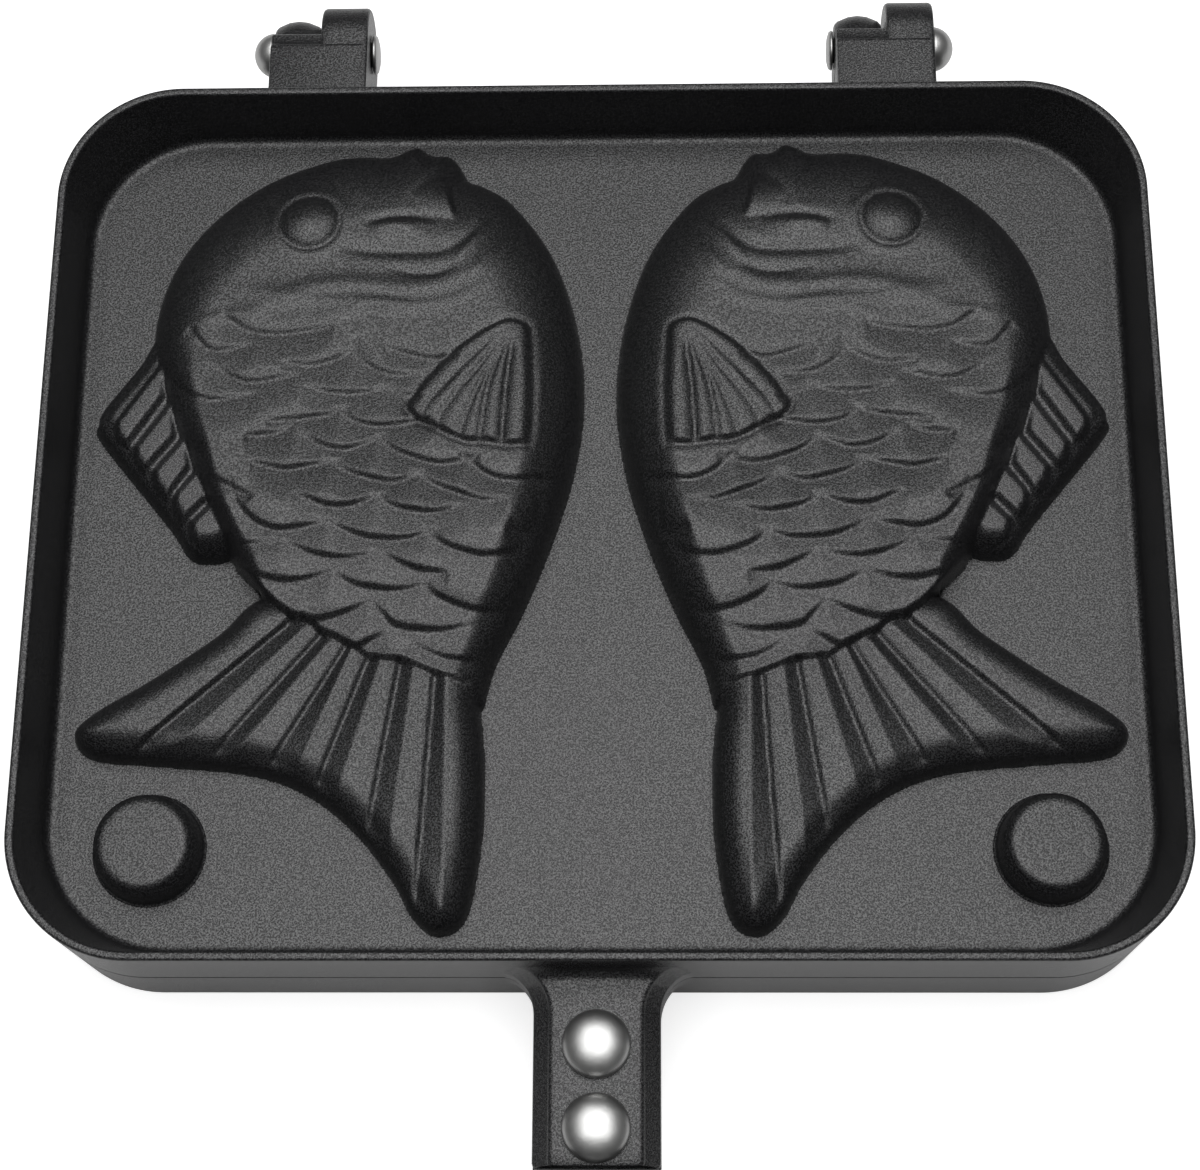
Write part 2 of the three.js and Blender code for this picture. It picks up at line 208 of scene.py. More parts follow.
fish = dict(
    rows=[60, 90, 112, 146],  # y of the next two lists
    reachBack=[4.5, 4.5, 8.5, 21],  # way in from the outline to the top of the dome
    reachBelly=[6, 9, 11.5, 21],
    backToBelly=(-62, -24),  # x
    crownRows=[50, 58, 66, 75, 85, 98],  # y of the next list
    crown=[8.5, 9.1, 10.6, 12.3, 13.1, 13.0],
    bodyPower=1.6,
    headPower=0.45,  # added at the head, which is fuller
    headRows=(100, 146),
    endFade=(-0.7, 0.3),  # across the line where the body ends above the tail
    endCut=-0.5,
    tailRise=7.3,
    finRise=6.9,
    grid=dict(upper=0.45, lower=0.6),
)
# The two sides of the metal: way in from the outline, width and power of the shoulders, and
# where the detail fades in
outside = dict(
    wall=0, tail=(6.2, 2.0), fin=(4.4, 1.7),
    bodyFade=(1, 4.5), tailFade=(0.8, 3.2), finFade=(1.0, 3.0),
)
mould = dict(
    wall=2.9, tail=(2.4, 1.9), fin=(1.6, 1.9),
    bodyFade=(0.5, 4), tailFade=(0.3, 2), finFade=(0.3, 1.6),
)
noField = -9  # distance where a part of the fish is cut off

bodyRing = closedCurve([
    -41.5, 161.2, -47, 161.3, -54, 160.3, -66.2, 155.2, -77, 146.2, -84, 134.6, -86.3, 121,
    -83, 106.5, -77, 93.5, -70.6, 80, -66.4, 71.5, -64, 60, -58, 46, -46, 35, -33, 31, -26, 36,
    -22, 45.5, -19.2, 56.5, -14, 67.5, -8.8, 81, -4.8, 95, -3.1, 109.5, -4.6, 125, -9.3, 139.6,
    -16.8, 150.4, -22.5, 154.4, -25.7, 155.8, -27.7, 159.2, -29.6, 161.2, -33, 161.5,
    -35.6, 163.2, -38.2, 162.7,
])
# Where the scaled body ends above the tail
bodyEnd = [
    -68, 76, -61.2, 68.7, -58.6, 66.1, -55.9, 64.3, -53.4, 63.7, -50.7, 61.6, -47.5, 60.1,
    -45.1, 58.9, -42.2, 56.9, -39, 56.4, -35.7, 56.1, -32.4, 54.8, -29.2, 53.5, -25.7, 52.7,
    -22.8, 50.4, -17, 45,
]
tailRing = closedCurve([
    -62, 70, -70.8, 62.5, -82.9, 53.9, -92.4, 48, -96.2, 43.6, -92.6, 39.3, -80, 38,
    -64, 36.4, -53.5, 32.8, -44.5, 26, -37, 16.8, -33, 9.8, -28.5, 6.7, -23.6, 9.7, -21.2, 22,
    -20.7, 35, -21.6, 47, -24, 59, -43, 69.4,
])
finRing = closedCurve([
    -85, 123, -89, 116.5, -95, 108, -96.1, 104.6, -95, 101.1, -81.1, 84, -77.4, 78.5,
    -73.9, 77.1, -68.3, 78.8, -65.1, 88.2, -72, 108.2, -78, 121.1,
])
scales = dict(
    rise=1.12,
    reach=6.5,  # from the step back to the surface
    leastReach=0.2, backPower=1.2, edge=0.05,
    drop=0.8,  # width of the step
    lip=0.14,  # share of the step that rolls over before it
    lipWidth=2.0, taper=0.3, margin=8,
    fade=0.36,  # the scales near the head are this share lower
    fadeRows=(84, 114), headFade=(128, 121),
)
# Free edges of the scales, with the head side above
scaleEdges = [
    [-75.3, 118.8, -73.3, 116.5, -70.7, 116.2, -67.5, 116.9],
    [-68.8, 122, -65.6, 120.1, -60.4, 119.4, -54.6, 120.1],
    [-57.1, 113.3, -53.9, 113, -50.1, 114, -47.4, 115.5, -46.5, 116.9],
    [-45.5, 115.5, -43, 113, -39.7, 111.3, -35.8, 111, -31.9, 111.6, -29.4, 113.3],
    [-36.5, 115.5, -31.9, 114.2, -28.7, 114.5],
    [-77.9, 109.1, -76, 107.2, -72.7, 106.2, -69.5, 106.5, -65.6, 107.2],
    [-72.1, 113, -68.8, 111, -65.6, 109.7, -61.7, 110.1, -57.8, 111],
    [-53, 108.4, -50.1, 107.5, -46.2, 107.2, -42.3, 107.7, -39.1, 108.7],
    [-39.7, 108.4, -37.2, 107.5, -34.5, 106.8],
    [-59.1, 101.9, -55.2, 102.3, -51.3, 102.9, -48.1, 104.3],
    [-63.6, 99, -60.4, 99.4, -57.8, 100.7],
    [-47.4, 103.3, -44.9, 101.6, -41, 100.7, -37.2, 101, -33.3, 101.6],
    [-53.9, 98.7, -50.7, 96.8, -46.9, 96.1, -43, 97.5, -40.1, 99],
    [-40.1, 98.4, -37.2, 95.8, -33.3, 94.2, -29.4, 93.2, -25.5, 93.6, -23.6, 94.2],
    [-61.4, 92.9, -57.8, 92.2, -53.9, 92.9, -49.1, 93.9],
    [-49.1, 93.6, -45.5, 91.6, -41.6, 90.3, -37.7, 89.7, -33.3, 91.3],
    [-32.9, 91.3, -29.4, 89, -25.5, 87.4, -21.6, 86.1, -18.4, 86.1],
    [-23.2, 93.6, -21, 91.6, -18.4, 90.3, -15.2, 90, -11.3, 91],
    [-53.3, 86.4, -50.1, 85.1, -46.9, 84.9, -43.6, 85.8, -40.4, 87.1],
    [-40.4, 86.8, -37.2, 84.9, -33.3, 83.9, -29.4, 83.9, -25.5, 85.1],
    [-66.8, 87.8, -65.6, 85.1, -63, 82.2, -59.1, 80.6, -54.6, 81, -49.4, 82.2],
    [-76, 100.7, -74.6, 98, -73, 95.5, -72.7, 92.9, -71.1, 90.7, -66.8, 88.3],
    [-49.1, 81.9, -43.6, 79.3, -39.7, 78.6, -35.2, 78.7, -31.3, 80],
    [-30.7, 80, -28.1, 77.7, -24.9, 76.4, -21, 75.5, -17.1, 76.1, -14.5, 78.1, -13.9, 80.6],
    [-14.9, 80.9, -13.2, 80.6, -12, 83.2, -12.2, 85.8],
    [-70.1, 83.9, -69.5, 80.6, -68.8, 79.3, -65.6, 78.1, -61.7, 78.2, -57.8, 78.8],
    [-57.8, 78.7, -54.6, 77.1, -51.3, 75.7, -47.4, 75.2, -43.6, 75.7, -39.7, 76.7],
    [-39.1, 76.1, -35.8, 74.2, -32.6, 72.8, -29.4, 72.5],
    [-64.3, 73.5, -61.7, 71.9, -57.8, 70.9, -53.9, 71.3, -50.7, 72.3, -48.4, 73.2],
    [-47.4, 72.3, -44.9, 70.6, -41.6, 69.6, -37.2, 69.3, -33.9, 69.9, -31.3, 70.9],
    [-31.3, 70.6, -29.4, 68.4, -26.1, 66.7, -22.2, 65.5, -19, 65.8, -17.4, 66.7],
    [-60.4, 67.2, -58.5, 66, -55.9, 64.1, -52.7, 63.7, -48.8, 64.3, -44.9, 65.8, -41.6, 67.7],
    [-41, 67.4, -38.4, 64.5, -36.5, 62.6, -31.9, 61.9, -28.1, 62, -23.6, 63.1],
    [-52.7, 62.6, -50.1, 60.2, -46.9, 58.7, -43.6, 59, -40.4, 60.9, -37.7, 62.2],
    [-33.3, 59.9, -30.7, 58.3, -27.5, 57, -23.6, 56.5, -19.7, 57.3],
    [-44.5, 57.3, -41.6, 55.4, -38.4, 55.1, -35.2, 54.8],
    [-34.8, 55.1, -31.9, 53.4, -28.7, 52.2, -24.9, 52.9, -22.2, 54.8, -21.3, 56.1],
]
head = dict(rise=0.6, width=1.15, taper=0.7, fade=(114, 124), deepest=-1)
# Raised and sunk lines on the head: points, height, half width, before the two shares above
headLines = [
    ([-70.7, 133.6, -69.5, 130.7, -67, 128.6, -62.7, 126.8, -57.8, 127.4, -53, 128.4,
      -46.2, 128.8, -38.4, 128, -31.6, 128.3, -25.8, 130.7, -20.5, 136.1, -18.5, 140.4],
     0.75, 1.5),
    ([-72.7, 126.6, -68.8, 124.6, -65.6, 123.6, -61.7, 124.9, -56.9, 125.9, -50.1, 125.2,
      -45.2, 125.6, -36.5, 124.4, -30.7, 124.7, -24.9, 126.8, -19, 131.7], 0.55, 1.2),
    ([-75.6, 121.7, -72.1, 122, -68.8, 122.7, -64, 121.8], 0.6, 0.9),
    ([-77.2, 113.3, -74, 114, -71.5, 113.3], 0.7, 1.0),
    ([-53.9, 121.3, -47.4, 123.3, -43, 124.6, -34.5, 123.9], 0.5, 1.1),
    ([-72, 139, -70.5, 133, -68.5, 129.8, -64, 127.3], -0.35, 1.6),
    ([-45.5, 141.6, -40, 142.9, -35, 143.2, -30.8, 142.2], -0.9, 0.8),
    ([-43.5, 140.4, -39, 140.9, -34.5, 140.4], 1.1, 1.4),
    ([-50, 136.6, -44, 135.8, -37, 135.6, -31, 135.8, -28, 136.9, -25.3, 139.2, -23, 142.5],
     -0.95, 1.1),
    ([-28, 132.5, -25.8, 135.6, -23.3, 139, -21.2, 142.5], 0.6, 0.8),
    ([-41, 132.2, -35, 131, -30.5, 131.2, -26.5, 133], -0.55, 0.7),
    ([-25.5, 129.5, -22, 132.7, -19.3, 137], 0.45, 0.8),
    ([-21.5, 130, -18.3, 133.5, -16.2, 138], 0.4, 0.8),
]
eye = dict(
    x=-55.5, y=142.0,
    ball=5.6, rise=1.5, power=0.7,
    ring=6.9, ringRise=0.25,
    groove=5.8, grooveDepth=0.1,
    grooveSpread=0.3,  # square mm
    clear=6.5,  # the head's lines end between these two radii
    reach=9.5,
)
snout = dict(
    edge=[-30.6, 153.5, -29.7, 149.5, -29.1, 146.5, -28.2, 142.8],
    rise=1.5, reach=6.5, leastReach=0.1, drop=1.2,
)
# The side fin: its outline, and the lines between its ribs from left to right
sideFin = dict(
    ring=[-17.6, 120.9, -22, 118.6, -26, 115.6, -29.5, 112.4, -32.2, 109, -34, 106.2,
             -35.4, 103.9, -33.6, 101.6, -30.4, 100, -27, 98.1, -24, 97, -21, 97,
             -17.5, 96.3, -14.2, 96.5, -13, 97.3, -12.6, 108, -13.3, 118.8, -14.6, 120.6],
    lines=[
        [-17.5, 121, -26, 115.6, -32.2, 109, -36, 103],
        [-18.2, 119, -25, 112, -31.6, 104.4, -33, 101],
        [-18.4, 117.4, -21.8, 112, -25.6, 107.3, -29, 102.3, -30, 99],
        [-18, 116.4, -22.3, 107.6, -25.3, 99.5, -26, 96],
        [-17.4, 117, -20.6, 108, -21.9, 98.5, -22, 95],
        [-16.2, 118, -17.3, 108, -17.9, 97.8, -18, 95],
        [-13.2, 120, -12.5, 108, -12.8, 96],
    ],
    rise=0.85, edge=(-0.4, 0.5), ribPower=0.7,
    groove=(0.48, 0.96),  # depth between the ribs at the left and at the right
    grooveX=(-24, -17),
    rootY=(121, 112),  # the ribs start between these
    rimDepth=0.3, rimPlace=0.5, rimWidth=0.7,
)
finDetail = dict(panel=1.3, sunk=0.8, edge=(-0.9, 0.4))
# Fin panels between slanted grooves
finPanels = [
    [-82.6, 115.8, -83, 108.8, -89.2, 99.2, -90.8, 100.4, -90.9, 103.2],
    [-81, 107, -80.4, 100.6, -85.6, 94, -87, 96, -86.9, 98.3],
    [-77.9, 100.3, -77.4, 94.4, -81.2, 88.4, -83.1, 90.8, -83.1, 93.4],
    [-75, 93.6, -73.7, 88.2, -77.8, 83.9, -79.2, 86.4, -78.7, 89],
    [-71.6, 87.2, -69.6, 81, -70.8, 78.8, -74, 78.6, -75.6, 81, -75.5, 83],
]
# Tail pleats between sharp edges and soft ones
pleat = dict(
    deep=1.5,  # drop after a sharp edge
    step=0.35,  # width of the drop
    slope=(-0.25, 1.1),  # share of the way to the soft edge over which the drop runs out
    bead=0.15,  # along a soft edge
    beadWidth=0.6,
    lean=0.6,  # fall from a soft edge to the next sharp one
    leanPower=1.5,
    overlap=0.1,
)
sharpEdges = [
    [-57.5, 63.5, -83.1, 40.9, -90.3, 34.6],
    [-51.3, 61.1, -68, 41.4, -72.6, 35.7],
    [-46.3, 59.2, -58.5, 38.9, -62.8, 32.3],
    [-42.1, 57.5, -51, 33, -53.9, 25.4],
    [-36.5, 55.9, -41.1, 27.1, -43.1, 16.6],
    [-30, 54.9, -32.6, 12.6, -33.3, 2.8],
]
softEdges = [
    [-53.8, 62.3, -72.6, 43.4, -79.2, 39.7],
    [-49.3, 59.5, -61.5, 43.6, -67.7, 36.2],
    [-44.9, 58.6, -52.2, 40.2, -55.9, 31.3],
    [-39.4, 56.5, -45.6, 35, -49, 24.4],
    [-33.5, 54.9, -36.5, 26.4, -38.2, 10.7],
    [-27.6, 54.9, -27.3, 12.6, -27.3, 2.8],
]


def scaleRelief(x, y):
    # A step down past each free edge, easing back to the surface; it fades out at the ends
    s = scales
    height = np.zeros(x.shape)
    for edge in scaleEdges:
        line = openCurve(edge)
        ends = [2 * line[0] - line[3], 2 * line[-1] - line[-4]]
        line = np.vstack([ends[:1], line, ends[1:]])
        low, high = line.min(0) - s["margin"], line.max(0) + s["margin"]
        near = (x > low[0]) & (x < high[0]) & (y > low[1]) & (y < high[1])
        d, along = beside(x[near], y[near], line)
        taper = taperEnds(along, s["taper"])
        reach = s["reach"] * taper + s["leastReach"]
        back = np.clip(1 - (-d - s["drop"]) / reach, 0, 1) ** s["backPower"]
        lip = s["lip"] * (1 - ease(d, 0, s["lipWidth"]))
        lip = lip + (1 - s["lip"]) * (1 - ease(d, -s["drop"], s["edge"]))
        deep = s["rise"] * (1 - s["fade"] * ease(line[:, 1].mean(), *s["fadeRows"]))
        step = -deep * taper * back * lip
        old = height[near]
        height[near] = np.where(np.abs(step) > np.abs(old), step, old)
    return height


def tailRelief(x, y):
    # Pleats: a drop after each sharp edge, a slope up to the soft edge, then a lean to the next
    p = pleat
    sharp = [beside(x, y, edge)[0] for edge in sharpEdges]
    soft = [beside(x, y, openCurve(edge))[0] for edge in softEdges]
    height = np.zeros(x.shape)
    for left, right in zip(soft, sharp[1:]):
        lean = -p["lean"] * shareBetween(left, right) ** p["leanPower"]
        height = np.where((left >= 0) & (right < -p["overlap"]), lean, height)
    for k, (left, right) in enumerate(zip(sharp, soft)):
        step = ease(left, -p["overlap"], p["step"])
        start = p["lean"] * (1 - step) if k else 0
        drop = p["deep"] * (1 - ease(shareBetween(left, right), *p["slope"])) * step
        height = np.where((left > -p["overlap"]) & (right < 0), -drop - start, height)
        height += p["bead"] * np.exp(-((right / p["beadWidth"]) ** 2))
    return height


def headRelief(x, y):
    # Mouth and gill lines, snout, and the eye with its ring
    height = np.zeros(x.shape)
    for points, rise, width in headLines:
        d, along = beside(x, y, openCurve(points))
        ridge = np.exp(-((d / (head["width"] * width)) ** 2))
        height += head["rise"] * rise * taperEnds(along, head["taper"]) * ridge
    d, along = beside(x, y, openCurve(snout["edge"]))
    taper = taperEnds(along, head["taper"])
    behind = np.clip(1 + d / (snout["reach"] * taper + snout["leastReach"]), 0, 1)
    height += snout["rise"] * taper * np.where(d < 0, behind, 1 - ease(d, 0, snout["drop"]))
    r = np.hypot(x - eye["x"], y - eye["y"])
    share = np.clip(r / eye["ball"], 0, 1)
    groove = np.exp(-((r - eye["groove"]) ** 2) / eye["grooveSpread"])
    ball = eye["rise"] * (1 - share**2) ** eye["power"] - eye["grooveDepth"] * groove
    ring = eye["ringRise"] * np.exp(-((r - eye["ring"]) ** 2))
    lines = height * ease(r, eye["clear"], eye["reach"])
    return np.where(r < eye["reach"], lines + ball + ring, height)


def sideFinRelief(x, y):
    # A raised fan of round ribs; each rib's section is a half sine between its two lines
    s = sideFin
    d = inside(x, y, closedCurve(s["ring"], 3))
    lines = [beside(x, y, openCurve(line))[0] for line in s["lines"]]
    rib = np.zeros(x.shape)
    for left, right in zip(lines, lines[1:]):
        arch = np.sin(math.pi * shareBetween(left, right)) ** s["ribPower"]
        rib = np.where((left > 0) & (right <= 0), arch, rib)
    shallow, full = s["groove"]
    deep = shallow + (full - shallow) * ease(x, *s["grooveX"])
    ribs = deep * (rib - 1) * ease(y, *s["rootY"])
    rim = s["rimDepth"] * np.exp(-(((d + s["rimPlace"]) / s["rimWidth"]) ** 2))
    return (s["rise"] + ribs) * ease(d, *s["edge"]) - rim


def finRelief(x, y):
    # Raised panels with slanted grooves between them
    panels = np.zeros(x.shape)
    for corners in finPanels:
        d = inside(x, y, np.reshape(corners, (-1, 2)))
        panels = np.maximum(panels, ease(d, *finDetail["edge"]))
    return finDetail["panel"] * panels - finDetail["sunk"]


def bodyDome(x, y, d, wall):
    # Superellipse dome over the outline: long at the head and belly, short along the back
    back = np.interp(y, fish["rows"], fish["reachBack"])
    belly = np.interp(y, fish["rows"], fish["reachBelly"])
    wide = back + (belly - back) * ease(x, *fish["backToBelly"]) - wall
    power = fish["bodyPower"] + fish["headPower"] * ease(y, *fish["headRows"])
    return np.interp(y, fish["crownRows"], fish["crown"]) * shoulder(d, wide, power)


def bodyDetail(x, y):
    lines = np.maximum(headRelief(x, y) * ease(y, *head["fade"]), head["deepest"])
    return scaleRelief(x, y) * ease(y, *scales["headFade"]) + lines + sideFinRelief(x, y)


def fishHeight(x, y, side):
    # Way in from the outline of one side of the metal, and its height from the plate's face
    dBody, dTail, dFin = (inside(x, y, r) - side["wall"] for r in (bodyRing, tailRing, finRing))
    end = beside(x, y, bodyEnd)[0]
    fade = ease(end, *fish["endFade"])
    body = bodyDome(x, y, dBody, side["wall"]) * fade
    body = body + bodyDetail(x, y) * ease(dBody, *side["bodyFade"]) * fade
    tail = fish["tailRise"] * shoulder(dTail, *side["tail"])
    tail = tail + tailRelief(x, y) * ease(dTail, *side["tailFade"])
    fin = fish["finRise"] * shoulder(dFin, *side["fin"])
    fin = fin + finRelief(x, y) * ease(dFin, *side["finFade"])
    dBody = np.where(end > fish["endCut"], dBody, noField)
    return np.maximum.reduce([dBody, dTail, dFin]), np.maximum.reduce([body, tail, fin])


print("stage: helpers and fields ready")


# Materials


def linear(code):
    # sRGB hex to linear colour
    v = np.array([int(code[i:i + 2], 16) / 255 for i in (1, 3, 5)])
    v = np.where(v <= 0.04045, v / 12.92, ((v + 0.055) / 1.055) ** 2.4)
    return (*v.tolist(), 1.0)


def addNode(tree, kind, settings=None, **links):
    # Adds a node, sets its properties or sockets, and links inputs by name or as s0, s1
    node = tree.nodes.new(kind)
    for key, value in (settings or {}).items():
        if key in node.inputs:
            node.inputs[key].default_value = value
        else:
            setattr(node, key, value)
    for key, source in links.items():
        tree.links.new(source, node.inputs[int(key[1:]) if key[1:].isdigit() else key])
    return node


def newMaterial(name, values):
    material = bpy.data.materials.new(name)
    material.use_nodes = True
    tree = material.node_tree
    shader = tree.nodes["Principled BSDF"]
    for key, value in values.items():
        shader.inputs[key].default_value = value
    coords = addNode(tree, "ShaderNodeTexCoord").outputs["Object"]
    return material, tree, shader, coords


def addNoise(tree, coords, size, detail, **values):
    # Noise whose grains are about size mm wide
    values.update({"Scale": metre / size, "Detail": detail})
    return addNode(tree, "ShaderNodeTexNoise", values, Vector=coords).outputs["Fac"]


def addRange(tree, value, low, high, band=(0.0, 1.0)):
    # Carries a band of a value onto the range from low to high
    limits = {"From Min": band[0], "From Max": band[1], "To Min": low, "To Max": high}
    return addNode(tree, "ShaderNodeMapRange", limits, Value=value).outputs["Result"]


def addColours(tree, shader, factor, low, high):
    mix = addNode(tree, "ShaderNodeMix", {"data_type": "RGBA"}, Factor=factor)
    # sockets 6 and 7 are the two colours, output 2 is their mix
    mix.inputs[6].default_value = linear(low)
    mix.inputs[7].default_value = linear(high)
    tree.links.new(mix.outputs[2], shader.inputs["Base Color"])


def addBump(tree, shader, height, strength):
    values = {"Strength": strength, "Distance": bumpDepth}
    bump = addNode(tree, "ShaderNodeBump", values, Height=height)
    tree.links.new(bump.outputs["Normal"], shader.inputs["Normal"])


bumpDepth = 0.0001  # m

coat = dict(
    low="#121213", high="#2c2c2d",
    grain=0.34,  # mm
    detail=3.0, fine=0.7,
    band=(0.43, 0.62),  # part of the noise from the darkest to the brightest specks; in the base colour these specks are partly the coat's own grain and partly painted glints
    glint=(0.36, 0.86),
    roughness=0.27, ior=1.45, bump=1.0,
)


def ptfeCoat():
    # Black PTFE coat sprayed on a die casting: satin, with a fine pebble that glints; the
    # speckle in its base colour is partly the coat's own grain and partly painted glints
    c = coat
    material, tree, shader, coords = newMaterial("sprayed PTFE coat on cast aluminium", {
        "Roughness": c["roughness"], "IOR": c["ior"]})
    grain = addNoise(tree, coords, c["grain"], c["detail"], Roughness=c["fine"])
    glint = addRange(tree, grain, *c["glint"], c["band"])
    tree.links.new(glint, shader.inputs["Specular IOR Level"])
    # speckled base colour: partly the coat's own grain, partly painted glints that stand in for
    # the specular sparkle
    addColours(tree, shader, addRange(tree, grain, 0.0, 1.0, c["band"]), c["low"], c["high"])
    addBump(tree, shader, grain, c["bump"])
    return material


metal = dict(
    colour="#b6b6b5",
    roughness=0.4,  # where the marks below aren't read
    marks=1.6,  # mm
    detail=3.0, range=(0.34, 0.48), bump=0.25,
)


def polishedAluminium():
    # Polished aluminium rivets and pins: bright, with soft tumbling marks
    m = metal
    material, tree, shader, coords = newMaterial("polished aluminium", {
        "Metallic": 1.0, "Roughness": m["roughness"], "Base Color": linear(m["colour"])})
    marks = addNoise(tree, coords, m["marks"], m["detail"])
    tree.links.new(addRange(tree, marks, *m["range"]), shader.inputs["Roughness"])
    addBump(tree, shader, marks, m["bump"])
    return material


resin = dict(
    low="#1a1a1b", high="#262627",
    flow=18, flowDetail=4.0, swirl=0.6,  # mm, as is the grain
    grain=0.8, detail=2.0,
    roughness=0.36, ior=1.55, bump=0.12,
)


def bakelite():
    # Pressed phenolic resin: near black, satin, with a faint cloudy flow
    r = resin
    material, tree, shader, coords = newMaterial("pressed phenolic resin", {
        "Roughness": r["roughness"], "IOR": r["ior"]})
    flow = addNoise(tree, coords, r["flow"], r["flowDetail"], Distortion=r["swirl"])
    addColours(tree, shader, flow, r["low"], r["high"])
    addBump(tree, shader, addNoise(tree, coords, r["grain"], r["detail"]), r["bump"])
    return material


coatMaterial = ptfeCoat()
metalMaterial = polishedAluminium()
gripMaterial = bakelite()
print("stage: materials ready")


def addCast(half, name, points, faces, sharp=None):
    # A piece of one half's coated casting
    addPiece(f"{half}_{name}", points, faces, coatMaterial, half + "_half",
             [half + "_pan"], half, sharp)


# Casting shell: skirt, plate and moulds in one closed surface

shell = dict(
    inset=6.8,  # from the outline to the inner grid
    rim=1.7, draft=1.8, edge=0.55, fillet=1.6,
    land=(3, 0.5),  # inset of the outline's mating land
    groove=[(0.5, 0.12), (0.12, 0.12), (0.03, 0.15), (0, 0.25), (0, 0.5)],  # inset, height
    wallRows=(6, 12), underEdge=0.3, plateRow=0.6,
    cornerGrowth=4.2,  # the inner corners are rounder at the foot
    gridCorner=20.0, grid=0.92,
    skin=1.2,  # metal between a mould and the outside
)
pocket = dict(x=81.2, y=22.4, radius=7.3, depth=7.0, edge=1.3, power=1.5)
roundSteps = (0.4, 0.8, 1.2, 1.57)  # angles along a rounded edge or fillet


def rimPath(x, y):
    # For points on the inner rectangle: the corner or side centre, and the way out from it
    hx, hy = pan["width"] / 2, pan["length"] / 2
    cx, cy = hx - pan["corner"], hy - pan["corner"]
    rx, ry = hx - shell["inset"], hy - shell["inset"]
    sx, sy = np.sign(x), np.sign(y)
    overX = np.clip((np.abs(x) - cx) / (rx - cx), 0, 1)
    overY = np.clip((np.abs(y) - cy) / (ry - cy), 0, 1)
    onSide = np.abs(np.abs(x) - rx) < tiny
    turn = np.where(onSide, 0.5 * overY, 1 - 0.5 * overX) * math.pi / 2
    centre = np.stack([sx * np.minimum(np.abs(x), cx), sy * np.minimum(np.abs(y), cy)], -1)
    corner = (np.abs(x) > cx - tiny) & (np.abs(y) > cy - tiny)
    straight = np.column_stack([np.where(onSide, sx, 0), np.where(onSide, 0, sy)])
    bent = np.stack([sx * np.cos(turn), sy * np.sin(turn)], -1)
    direction = np.where(corner[:, None], bent, straight)
    return centre, direction


def roundCorners(x, y):
    # Square corner to quarter disc: u * sqrt(1 - v^2 / 2) and v * sqrt(1 - u^2 / 2)
    r = shell["gridCorner"]
    cx = pan["width"] / 2 - shell["inset"] - r
    cy = pan["length"] / 2 - shell["inset"] - r
    u = np.clip((np.abs(x) - cx) / r, 0, 1)
    v = np.clip((np.abs(y) - cy) / r, 0, 1)
    rx = np.sign(x) * (np.abs(x) - r * u * (1 - np.sqrt(1 - v**2 / 2)))
    ry = np.sign(y) * (np.abs(y) - r * v * (1 - np.sqrt(1 - u**2 / 2)))
    return rx, ry


def shellGrid():
    # A grid inside the rim, the same moved onto the moulds' edges, and its depth
    step = shell["grid"]
    wide = pan["width"] - 2 * shell["inset"]
    deep = pan["length"] - 2 * shell["inset"]
    nx, ny = int(wide / step) // 2 * 2 + 1, int(deep / step) + 1
    across, along = np.linspace(-wide / 2, wide / 2, nx), np.linspace(-deep / 2, deep / 2, ny)
    flat = np.meshgrid(across, along)
    x, y = roundCorners(*flat)
    panY = y + pan["length"] / 2
    # the moulds are symmetric about x = 0, so only the left half is worked out
    left = nx // 2 + 1
    d, depth = fishHeight(x[:, :left], panY[:, :left], mould)
    d, depth = (np.hstack([field, field[:, -2::-1]]) for field in (d, depth))
    room = pocket["radius"] - np.hypot(np.abs(x) - pocket["x"], panY - pocket["y"])
    hollow = pocket["depth"] * shoulder(room, pocket["edge"], pocket["power"])
    d = np.maximum(d, room)
    depth = np.where(d > 0, np.maximum(depth, hollow), 0)
    gy, gx = np.gradient(d, along, across)
    snap = np.abs(d) < 0.5 * step
    x, y = x - np.where(snap, d * gx, 0), y - np.where(snap, d * gy, 0)
    return flat, x, y, np.where(snap, 0, depth)


def shellProfile():
    # Inset from the outer edge and height: out along the inner face, up the wall, over the
    # rim and down the skirt to the plate
    s, h, plate, e = shell, pan["height"], pan["plate"], shell["edge"]
    rim, foot, f = s["rim"], s["rim"] + s["draft"], s["fillet"]
    profile = [(inset, -pan["land"]) for inset in s["land"]] + s["groove"]
    profile += [(0, z) for z in s["wallRows"]] + [(0, h - e - s["underEdge"]), (0, h - e)]
    profile += [(e - e * math.cos(a), h - e + e * math.sin(a)) for a in roundSteps]
    profile += [(rim - e + e * math.sin(a), h - e + e * math.cos(a)) for a in (0, *roundSteps)]
    fall = h - e - plate - f
    profile += [(rim + (foot - rim) * t, h - e - fall * t) for t in (0.25, 0.5, 0.75, 1)]
    profile += [(foot + f - f * math.cos(a), plate + f - f * math.sin(a)) for a in roundSteps]
    return profile + [(foot + f + s["plateRow"], plate)]


def borderOf(grid):
    # The outermost values of a grid, once round
    return np.concatenate([grid[0, :], grid[1:, -1], grid[-1, -2::-1], grid[-2:0:-1, 0]])


